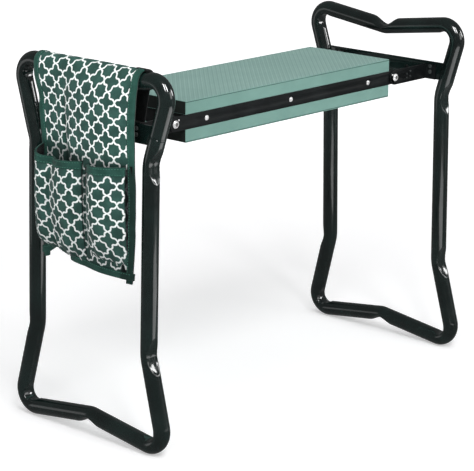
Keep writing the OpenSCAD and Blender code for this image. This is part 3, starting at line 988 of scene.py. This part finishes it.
def tape(edge, us, vs, length, replaces=(), lift=0.0):
    """Folded tape over an edge of the panel."""
    o = cloth("pouch_binding_" + edge, panel, us, vs, 2.9 * MM, [TAPE], "pouch_tape", replaces=replaces,
              lift=lift, shade_at=lambda u, v: 0.7 * panel_shade(u, v))


down, side_long = spread(-BACK_LEN, PANEL_LEN + 5 * MM, 150), PANEL_LEN + BACK_LEN + 5 * MM
tape("back", spread(0, BIND, 6), down, side_long, ("pouch_binding",))
tape("front", spread(PANEL_W - BIND, PANEL_W, 6), down, side_long)
low_rows = spread(PANEL_LEN - BIND, PANEL_LEN, 6)
tape("low", spread(-4 * MM, PANEL_W + 3 * MM, 90), low_rows, PANEL_W + 7 * MM, lift=0.35 * MM)
seam = BIND - 1.3 * MM
for edge, u in (("back", seam), ("front", PANEL_W - seam)):
    line = [(u, -BACK_LEN + 2 * MM), (u, PANEL_LEN - 2 * MM)]
    stitches("binding_stitches_" + edge, panel, line, 1.5 * MM)
line = [(2 * MM, PANEL_LEN - seam), (PANEL_W - 2 * MM, PANEL_LEN - seam)]
stitches("binding_stitches_low", panel, line, 1.85 * MM)

# Black edge of the rear flap, which shows past the front binding on top of the bar
REAR_W = 14 * MM


def rear(u, v):
    """The panel's front edge again, drawn a little past it."""
    return panel(PANEL_W - REAR_W + u, v) - Vector((0, 3.4 * MM * u / REAR_W, 0))


rear_edge = cloth("pouch_rear_edge", rear, spread(0, REAR_W, 8), spread(-BACK_LEN, ARC * 0.1, 20), 3.3 * MM,
                  [LINING], "pouch_lining", lift=0.1 * MM)

# Black lining flap that hangs behind the bar
LINING_TOP, LINING_LONG, LINING_W = 474 * MM, 52 * MM, 176 * MM


def lining(u, v):
    across, t = u / LINING_W, v / LINING_LONG
    y = (88 - 12 * t) * MM * (1 - 2 * across)
    x = -13.6 * MM - 1.5 * MM * t + 0.9 * MM * noise.noise((across * 5, t * 1.4, 2.0)) * t
    return Vector((x, y, LINING_TOP - v))


flap = cloth("pouch_lining_flap", lining, spread(0, LINING_W, 70), spread(0, LINING_LONG, 22), 1.1 * MM,
             [LINING], "pouch_lining", replaces=("pouch_lining",))

# Pockets: the plan curve of the front at five levels from the mouth down to the floor, in mm, as
# (y, stand-off) at even shares of the curve
MOUTH_Z = 368 * MM
POCKET_DEEP = 125 * MM
BAND = 10.5 * MM
WIDE_LEVELS = [
    (0.0, [(87, 3), (85, 13), (81, 22.5), (74, 28), (65, 27), (57, 18.5), (51, 18.5), (42, 25), (29, 32),
           (13, 34), (1, 31.5), (-7, 27), (-2, 21.5), (-10, 23)]),
    (0.25, [(86, 3), (85, 14), (82, 24), (74, 31), (64, 32.5), (54, 28), (47.5, 28.5), (39, 33), (28, 37),
            (13, 38), (0, 34.5), (-8.5, 28.5), (-1, 21.5), (-11, 23)]),
    (0.65, [(84, 3), (84, 14.5), (81, 24), (72, 30), (62, 31.5), (52, 27), (45, 27.5), (37, 31.5), (26, 35),
            (11, 36), (-2, 32.5), (-10, 27), (-3, 20), (-12, 21)]),
    (0.9, [(82, 3), (83, 13), (80, 21), (71, 25.5), (60, 25.5), (49, 22), (42, 23), (34, 26.5), (23, 29),
           (9, 29.5), (-4, 27.5), (-12, 24), (-8, 19.5), (-14, 20)]),
    (1.0, [(80, 2.5), (79, 8), (74, 12), (66, 14.5), (56, 15), (46, 15), (39, 16), (31, 18.5), (20, 20.5),
           (7, 21.5), (-5, 21.5), (-13, 21), (-14, 20.5), (-16, 20)]),
]
NARROW_LEVELS = [
    (0.0, [(-15, 26), (-21, 29), (-30, 36), (-37, 40.5), (-46, 42), (-56, 40), (-66, 36), (-75, 31.5),
           (-83, 26.5), (-79, 20.5), (-90, 18.5)]),
    (0.25, [(-15, 26), (-21, 31), (-31, 39), (-38, 43), (-47, 45), (-57, 42), (-67, 37.5), (-76, 32),
            (-84, 27), (-78, 20), (-91, 18)]),
    (0.65, [(-16, 24), (-22, 30), (-31, 37.5), (-38, 41.5), (-47, 43), (-57, 40.5), (-67, 36), (-76, 30.5),
            (-84.5, 25.5), (-79, 19), (-91, 17.5)]),
    (0.9, [(-17, 22), (-22, 26), (-30, 31), (-37, 33), (-46, 33), (-57, 31), (-67, 28), (-76, 24),
           (-83, 20.5), (-80, 17), (-89, 16)]),
    (1.0, [(-17, 22), (-22, 22.5), (-29, 23), (-36, 23), (-46, 22.5), (-56, 21.5), (-66, 20), (-75, 18),
           (-81, 16), (-82, 15), (-87, 14.5)]),
]


def pocket_surface(levels, rim, hem):
    """Surface over (share of the plan curve, depth below the mouth); rim and hem give heights in mm."""
    last = len(levels[0][1]) - 1
    plans = [(level, [(k, *row) for k, row in enumerate(plan)]) for level, plan in levels]

    def surface(s, v):
        t = max(0.0, v / POCKET_DEEP)
        y, x = spline([(level, *spline(plan, s * last)) for level, plan in plans], t)
        y, x = y * MM, x * MM
        z = MOUTH_Z - v + (spline(rim, s * last)[0] * (1 - t) + spline(hem, s * last)[0] * t) * MM
        z += (1.5 * math.sin(s * 38) + math.sin(s * 71 + 1)) * MM * ramp(t, 0.86, 1)
        # the front is soft between its mouth and its gathered foot, and puckers just above the hem
        soft = ramp(t, 0.05, 0.3) * (1 - ramp(t, 0.8, 1))
        pucker = ramp(t, 0.7, 0.92) * (1 - ramp(t, 0.97, 1))
        x += 1.3 * MM * noise.noise((s * 9, t * 2.5, last * 1.3)) * soft
        x += 0.9 * MM * math.sin(s * 47 + t * 3) * pucker
        return Vector((x, y, z))

    return surface


def arc_table(surface, v):
    """Cloth length from the first seam at even shares of the curve."""
    shares = 220
    table, last = [0.0], surface(0, v)
    for k in range(1, shares + 1):
        p = surface(k / shares, v)
        table.append(table[-1] + (p - last).length)
        last = p
    return table


def pocket(name, levels, rim, hem, folds, print_u, print_v):
    """A pocket of printed cloth with a plain band at its mouth, on the panel.

    The folds are (from, to, depth) rows in points of the plan curve: stretches that lie in shadow.
    """
    surface = pocket_surface(levels, rim, hem)
    last = len(levels[0][1]) - 1
    table = arc_table(surface, 0.4 * POCKET_DEEP)
    width = table[-1]

    def share(u):
        return min(1.0, max(0.0, u / width))

    def by_share(u, v):
        return surface(share(u), v)

    def print_uv(u, v):
        k = share(u) * (len(table) - 1)
        i = min(int(k), len(table) - 2)
        return table[i] + (table[i + 1] - table[i]) * (k - i) - print_u, (v - print_v) * POCKET_DOWN

    def shade(u, v):
        k = share(u) * last
        dark = 0.16 + 0.2 * ramp(v, 0.3 * POCKET_DEEP, POCKET_DEEP)
        for a, b, full in folds:
            dark = max(dark, full * ramp(k, a - 0.25, a + 0.25) * (1 - ramp(k, b - 0.2, b + 0.2)))
        return min(1.0, dark + 0.2 * ramp(v, 0.84 * POCKET_DEEP, POCKET_DEEP))

    columns = spread(0, width, 170)
    front = cloth(name + "_cloth", by_share, columns, spread(3 * MM, POCKET_DEEP, 90), CLOTH_T,
                  [CLOTH, LINING], "pouch_cloth", replaces=(name,), uv_at=print_uv, shade_at=shade)
    band = cloth(name + "_band", by_share, columns, spread(0, BAND, 12), 2.4 * MM, [TAPE, LINING],
                 "pouch_tape", 0.25 * MM, ("pocket_bands",), uv_at=print_uv, shade_at=shade)
    for k, v in enumerate((2.0 * MM, 8.8 * MM)):
        stitches(f"{name}_stitches_{k}", by_share, [(width * 0.01, v), (width * 0.99, v)], 1.55 * MM)


# How much closer the print's repeat is down the pockets than across
POCKET_DOWN = 1.11
pocket("wide_pocket", WIDE_LEVELS,
       [(0, 6), (2, 1), (3, -2), (5, -5), (7, -5), (9, -2), (11, 0), (13, 0)],
       [(0, 1), (3, 2), (5, 0), (8, -2), (11, -4), (13, -3)],
       ((10.95, 13.2, 1.0), (4.6, 5.4, 0.3)), 18.2 * MM, 13 * MM)
pocket("narrow_pocket", NARROW_LEVELS,
       [(0, -4), (2, 0), (4, 1), (6, 2.5), (8, 4), (10, 5)],
       [(0, 3), (2, 6), (4, 2), (6, -1), (8, -5), (10, -5)],
       ((-0.5, 1.2, 1.0), (8.05, 10.2, 1.0)), 21.5 * MM, 11.3 * MM)

# -------------------------------- studio

def studio():
    """White floor and room, and lights placed so that the tubes mirror them as in the photo."""
    floor_mesh = bpy.data.meshes.new("floor")
    floor_mesh.from_pydata([(-30, -30, 0), (30, -30, 0), (30, 30, 0), (-30, 30, 0)], [], [(0, 1, 2, 3)])
    p = Paint("studio_floor")
    x, y, _ = p.axes(p.place())
    away = p.math("SQRT", p.plus(p.times(x, x), p.times(y, y)))
    p.set(Base_Color=(0.82, 0.82, 0.83, 1), Roughness=0.6, Specular_IOR_Level=0.1,
          Emission_Color=(1, 1, 1, 1), Emission_Strength=p.range(away, 0.5, 2.2, 0.38, 0.86))
    floor = link("floor", floor_mesh, [p.mat])
    floor.visible_glossy = False
    world = bpy.data.worlds.new("studio")
    bpy.context.scene.world = world
    world.use_nodes = True
    tree = world.node_tree
    path = tree.nodes.new("ShaderNodeLightPath")
    white = (1, 1, 1, 1)
    shader = tree.nodes["Background"]
    shader.inputs["Color"].default_value = white
    shader.inputs["Strength"].default_value = 0.3
    for kind, strength in (("Is Glossy Ray", 0.12), ("Is Camera Ray", 1.05)):
        other = tree.nodes.new("ShaderNodeBackground")
        other.inputs["Color"].default_value = white
        other.inputs["Strength"].default_value = strength
        mixer = tree.nodes.new("ShaderNodeMixShader")
        for k, output in enumerate((path.outputs[kind], shader.outputs[0], other.outputs[0])):
            tree.links.new(output, mixer.inputs[k])
        shader = mixer
    tree.links.new(shader.outputs[0], tree.nodes["World Output"].inputs["Surface"])

    def area(name, place, target, wide, power, tall=None, mirrored=False, lights=True):
        data = bpy.data.lights.new(name, "AREA")
        data.shape = "RECTANGLE"
        data.size = wide
        data.size_y = tall or wide
        data.energy = power
        o = bpy.data.objects.new(name, data)
        bpy.context.scene.collection.objects.link(o)
        o.location = place
        o.rotation_euler = (Vector(target) - Vector(place)).to_track_quat("-Z", "Y").to_euler()
        o.visible_glossy = mirrored
        o.visible_diffuse = lights
        o.visible_camera = False

    def reflector(name, place, target, wide, power, tall):
        """A light that is seen only in what mirrors it."""
        area(name, place, target, wide, power, tall, mirrored=True, lights=False)

    area("top_box", (0.1, -0.3, 2.6), (0, 0, 0.2), 2.4, 22)
    area("left_box", (-2.6, -1.2, 1.5), (-0.1, 0, 0.3), 1.2, 22)
    reflector("left_sheen", (-2.6, -1.2, 1.5), (-0.1, 0, 0.3), 1.2, 7, 1.2)
    area("front_box", (0.9, -2.8, 1.3), (0, 0, 0.25), 1.3, 12, mirrored=True)
    for k, step in enumerate((-0.22, 0.22)):
        area(f"window_{k}", (-0.9 + step, -1.6 - 0.5 * step, 2.5), (0, 0, 0.4), 0.26, 15, 0.8)
        reflector(f"strip_{k}", (-0.9 + 2 * step, -1.6 - step, 2.4), (0, 0, 0.4), 0.34, 36, 1.3)
    reflector("side_strip", (2.1, -1.9, 1.4), (0, 0, 0.35), 0.55, 20, 1.0)
    # these show in the upright tubes, which mirror the room just under eye level
    reflector("low_left", (-1.9, 2.2, 0.05), (-0.2, 0, 0.45), 1.0, 1.6, 0.9)
    reflector("low_right", (1.7, -2.4, 0.05), (0.1, 0, 0.45), 0.5, 0.5, 0.9)
    reflector("floor_glow", (0.0, -0.75, 0.01), (0.0, -0.75, 1), 0.6, 1.8, 0.6)


def camera():
    """The camera of the photo, as solved from the object's edges: place, tilt, roll and heading."""
    data = bpy.data.cameras.new("camera")
    data.sensor_fit = "HORIZONTAL"
    data.sensor_width = 36
    data.lens = 155.142
    data.clip_start = 0.05
    data.clip_end = 100
    o = bpy.data.objects.new("camera", data)
    bpy.context.scene.collection.objects.link(o)
    o.location = (-2.0304, -1.8254, 0.9550)
    o.rotation_euler = [math.radians(a) for a in (74.670, -0.417, -47.581)]
    bpy.context.scene.camera = o
    bpy.context.view_layer.update()


studio()
camera()
colours = bpy.context.scene.view_settings
colours.view_transform = "Standard"
colours.look = "None"
